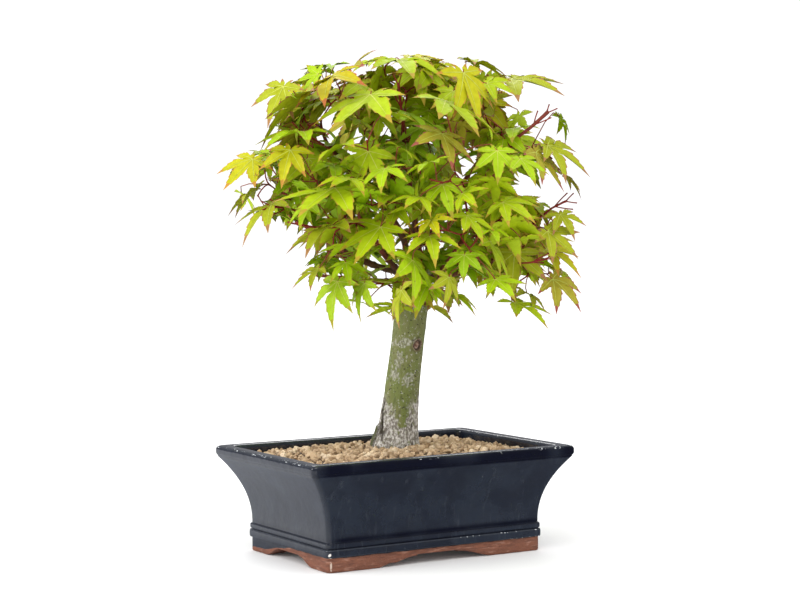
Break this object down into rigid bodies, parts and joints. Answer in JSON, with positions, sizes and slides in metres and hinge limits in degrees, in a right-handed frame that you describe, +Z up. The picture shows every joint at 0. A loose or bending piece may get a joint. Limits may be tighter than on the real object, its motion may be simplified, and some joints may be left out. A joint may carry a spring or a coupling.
{
  "type": "bonsai maple in a pot",
  "caption": "Bonsai maple with a leaning trunk and a dome of lobed leaves, in a flared rectangular glazed pot with clay feet, filled with clay grain.",
  "frame": {"origin": "under the middle of the whole plant's box, on the ground that the pot's feet stand on", "axes": "+Z up; +X along the pot's long side, +Y from the pot's front to its back; the tree's own front looks 31 degrees from -Y towards -X"},
  "size_m": [0.2376, 0.2462, 0.3395],
  "materials": {
    "glaze": "glossy dark navy glaze",
    "clay": "bare red-brown fired clay",
    "grain": "loose fired clay grain, dry and matte",
    "bark": "smooth olive-green bark with grey lichen",
    "branch": "smooth dark red young bark",
    "leaf": "matte yellow-green leaf"
  },
  "bodies": {
    "root": {"pot_body": "glaze", "pot_base": "clay", "foot_front_left": "clay", "foot_front_right": "clay", "foot_back_left": "clay", "foot_back_right": "clay", "soil": "grain", "trunk": "bark", "bough_crest": "branch", "bough_top_left": "branch", "bough_top_right": "branch", "bough_top_back": "branch", "bough_left": "branch", "bough_front_left": "branch", "bough_front_right": "branch", "bough_left_low": "branch", "bough_right_low": "branch", "bough_back_left": "branch", "bough_back_right": "branch", "bough_front_low": "branch", "leaves_crest": "leaf", "leaves_top_left": "leaf", "leaves_top_right": "leaf", "leaves_top_back": "leaf", "leaves_left": "leaf", "leaves_front_left": "leaf", "leaves_front_right": "leaf", "leaves_left_low": "leaf", "leaves_right_low": "leaf", "leaves_back_left": "leaf", "leaves_back_right": "leaf", "leaves_front_low": "leaf"}
  },
  "joints": []
}
